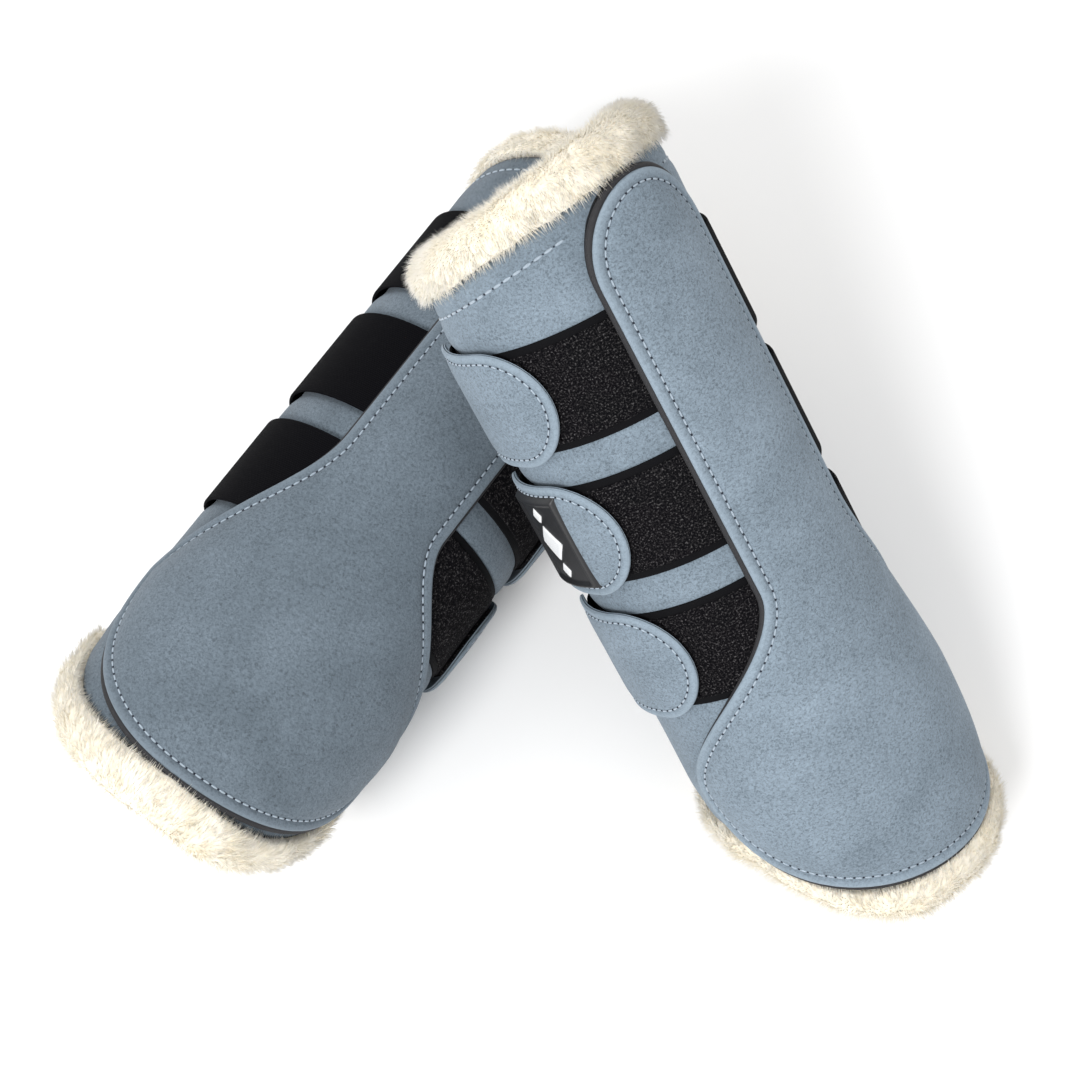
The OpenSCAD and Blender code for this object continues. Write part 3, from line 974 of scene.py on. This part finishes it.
def make_tab(boot, i):
    """The suede tab with its rounded end and its border stitching."""
    p, name, zc = boot.prefix, STRAPS[i], strap_z(i)
    r = float(boot.shell_r(zc))
    middle_r = r + TAB_LOW
    start = boot.tip - TAB_SPAN + 1
    length = math.radians(boot.tip - start) * middle_r

    def place(s, c, height):
        return cylinder(start + np.degrees(s / middle_r), r + height, zc + c)

    def height(d, s, c):
        edge = 1.1 * np.sqrt(1 - (1 - np.clip(d / 1.1, 0, 1)) ** 2)
        groove = 0.5 * np.exp(-(((d - TAB_STITCH_IN) / 0.7) ** 2))
        puff = 0.8 * (1 - np.exp(-np.maximum(0, d - TAB_STITCH_IN) / 6))
        return TAB_LOW + 0.7 + edge - groove + puff

    near = np.array(RIM)
    round_end = TAB_TIP_LENGTH * (1 - np.sin(np.radians(np.linspace(0, 90, 40))))
    rows = np.concatenate([near, np.linspace(9.5, length - 23, 24), length - round_end])

    def half(s, side):
        return tab_half(s, length)

    points, faces, rim = patch(rows, half, place, height, TAB_LOW + 0.02, count=30)
    tab = add_piece(
        f"{p}_tab_{name}_suede", boot, points, faces, MATERIAL["suede_" + boot.prefix],
        strap=name, replaces=[f"{p}_tab_{name}"], rim=rim,
    )
    merge_doubles(tab)
    width = tab_half(rows, length)
    outline = np.concatenate([np.stack([rows, width], 1), np.stack([rows, -width], 1)[::-1]])
    line = inset(outline, TAB_STITCH_IN)
    path = place(line[:, 0], line[:, 1], TAB_LOW + 1.6)
    out = place(line[:, 0], line[:, 1], TAB_LOW + 2.6) - path
    add_stitches(f"{p}_tab_{name}", boot, path, out, strap=name, pitch=3.1, length=2.2, width=0.65)


def make_hook_patch(boot, i):
    """The hook patch under a tab, a thin strip with a rough face."""
    p, name, zc = boot.prefix, STRAPS[i], strap_z(i)
    r = float(boot.shell_r(zc))
    half = (BAND_W - 8) / 2
    phis = np.linspace(boot.tip - TAB_SPAN + 14, boot.tip - 6, 130)
    section = rounded_band(r + SLIP + LOOP_T, r + TAB_LOW, zc - half, zc + half, 0.4)
    points, faces = sweep(phis, lambda phi: section)
    add_piece(
        f"{p}_hook_patch_{name}_strip", boot, points, faces, MATERIAL["loop"],
        strap=name, replaces=[f"{p}_hook_patch_{name}"],
    )


def make_badge(boot):
    """A plain rubber badge: a bevelled rim round a dark field with a lozenge on it."""
    zc = strap_z(1)
    r = float(boot.shell_r(zc))
    start, end = boot.tip - 55, boot.tip - 22
    base_r = r + TAB_LOW + TAB_T
    length = math.radians(end - start) * base_r
    half = (BAND_W - 2) / 2
    low = TAB_LOW + 1.2

    def place(s, c, height):
        return cylinder(start + np.degrees(s / base_r), r + height, zc + c)

    def rim_height(d, s, c):
        slope = np.clip(d / 1.2, 0, 1)
        inside = ease((d - 2.2) / 0.8)
        return low + 0.5 + 2.0 * slope - 0.9 * inside

    rows = np.concatenate([np.array(RIM), np.linspace(9.4, length - 9.4, 12), length - np.array(RIM)[::-1]])

    def plate_half(s, side):
        return np.full(np.shape(s), half)

    points, faces, _ = patch(rows, plate_half, place, rim_height, low, count=24)
    add_piece(
        f"{boot.prefix}_badge_plate", boot, points, faces, MATERIAL["badge"],
        strap="mid", replaces=[f"{boot.prefix}_badge"],
    )

    def lozenge(reach_s, reach_c, shift):
        s = np.linspace(-reach_s, reach_s, 15)

        def width(at, side):
            return reach_c * (1 - np.abs(at) / reach_s)

        def moved(at, c, height):
            return place(at + length / 2, c + shift, height)

        def raised(d, at, c):
            return low + 1.6 + 0.5 * np.clip(d / 0.5, 0, 1)

        return patch(s, width, moved, raised, low + 1.2, count=18)

    for k, (reach_s, reach_c, shift) in enumerate(((7.0, 7.0, 0.0), (3.0, 3.0, 11.0), (3.0, 3.0, -11.0))):
        points, faces, _ = lozenge(reach_s, reach_c, shift)
        mark = add_piece(
            f"{boot.prefix}_badge_lozenge_{k}", boot, points, faces, MATERIAL["badge_mark"],
            strap="mid",
        )
        merge_doubles(mark)


# ---------------------------------------------------------------- the pair
for prefix in ("a", "b"):
    boot = Boot(prefix)
    make_shell(boot)
    make_foam(boot)
    make_fleece(boot)
    add_rim_stitches(boot)
    make_pad(boot)
    for i in range(3):
        make_loop_band(boot, i)
        make_strap(boot, i)
        make_tab(boot, i)
        make_hook_patch(boot, i)
    make_badge(boot)


# ---------------------------------------------------------------- floor, light and camera
def make_floor():
    mesh = bpy.data.meshes.new("floor")
    reach = 6.0
    corners = [(-reach, -reach, 0), (reach, -reach, 0), (reach, reach, 0), (-reach, reach, 0)]
    mesh.from_pydata(corners, [], [(0, 1, 2, 3)])
    floor = bpy.data.objects.new("floor", mesh)
    bpy.context.scene.collection.objects.link(floor)
    material = bpy.data.materials.new("floor")
    material.use_nodes = True
    shader = material.node_tree.nodes["Principled BSDF"]
    shader.inputs["Base Color"].default_value = (0.93, 0.93, 0.93, 1)
    shader.inputs["Roughness"].default_value = 0.9
    mesh.materials.append(material)


def add_light(name, where, size, power):
    lamp = bpy.data.lights.new(name, "AREA")
    lamp.shape = "DISK"
    lamp.size = size
    lamp.energy = power
    light = bpy.data.objects.new(name, lamp)
    bpy.context.scene.collection.objects.link(light)
    light.location = where
    light.rotation_euler = (Vector((0, 0, 0.08)) - Vector(where)).to_track_quat("-Z", "Y").to_euler()


def set_world(strength):
    world = bpy.data.worlds.new("studio")
    world.use_nodes = True
    background = world.node_tree.nodes["Background"]
    background.inputs["Color"].default_value = (1, 1, 1, 1)
    background.inputs["Strength"].default_value = strength
    bpy.context.scene.world = world


def add_camera():
    """Looks down on the pair from in front."""
    data = bpy.data.cameras.new("camera")
    camera = bpy.data.objects.new("camera", data)
    bpy.context.scene.collection.objects.link(camera)
    elevation = math.radians(70.2)
    distance = 0.876
    target = Vector((0.0000, -0.0080, 0.0595))
    camera.location = target + Vector((0, -math.cos(elevation), math.sin(elevation))) * distance
    camera.rotation_euler = (math.radians(90) - elevation, 0, 0)
    data.lens = 80.5
    data.sensor_width = 36
    data.clip_start = 0.05
    bpy.context.scene.camera = camera


make_floor()
set_world(0.80)
add_light("key", (-0.55, -1.05, 1.35), 0.7, 24)
add_light("back", (-0.3, 0.9, 1.3), 0.9, 6)
add_camera()
bpy.context.scene.view_settings.view_transform = "Standard"
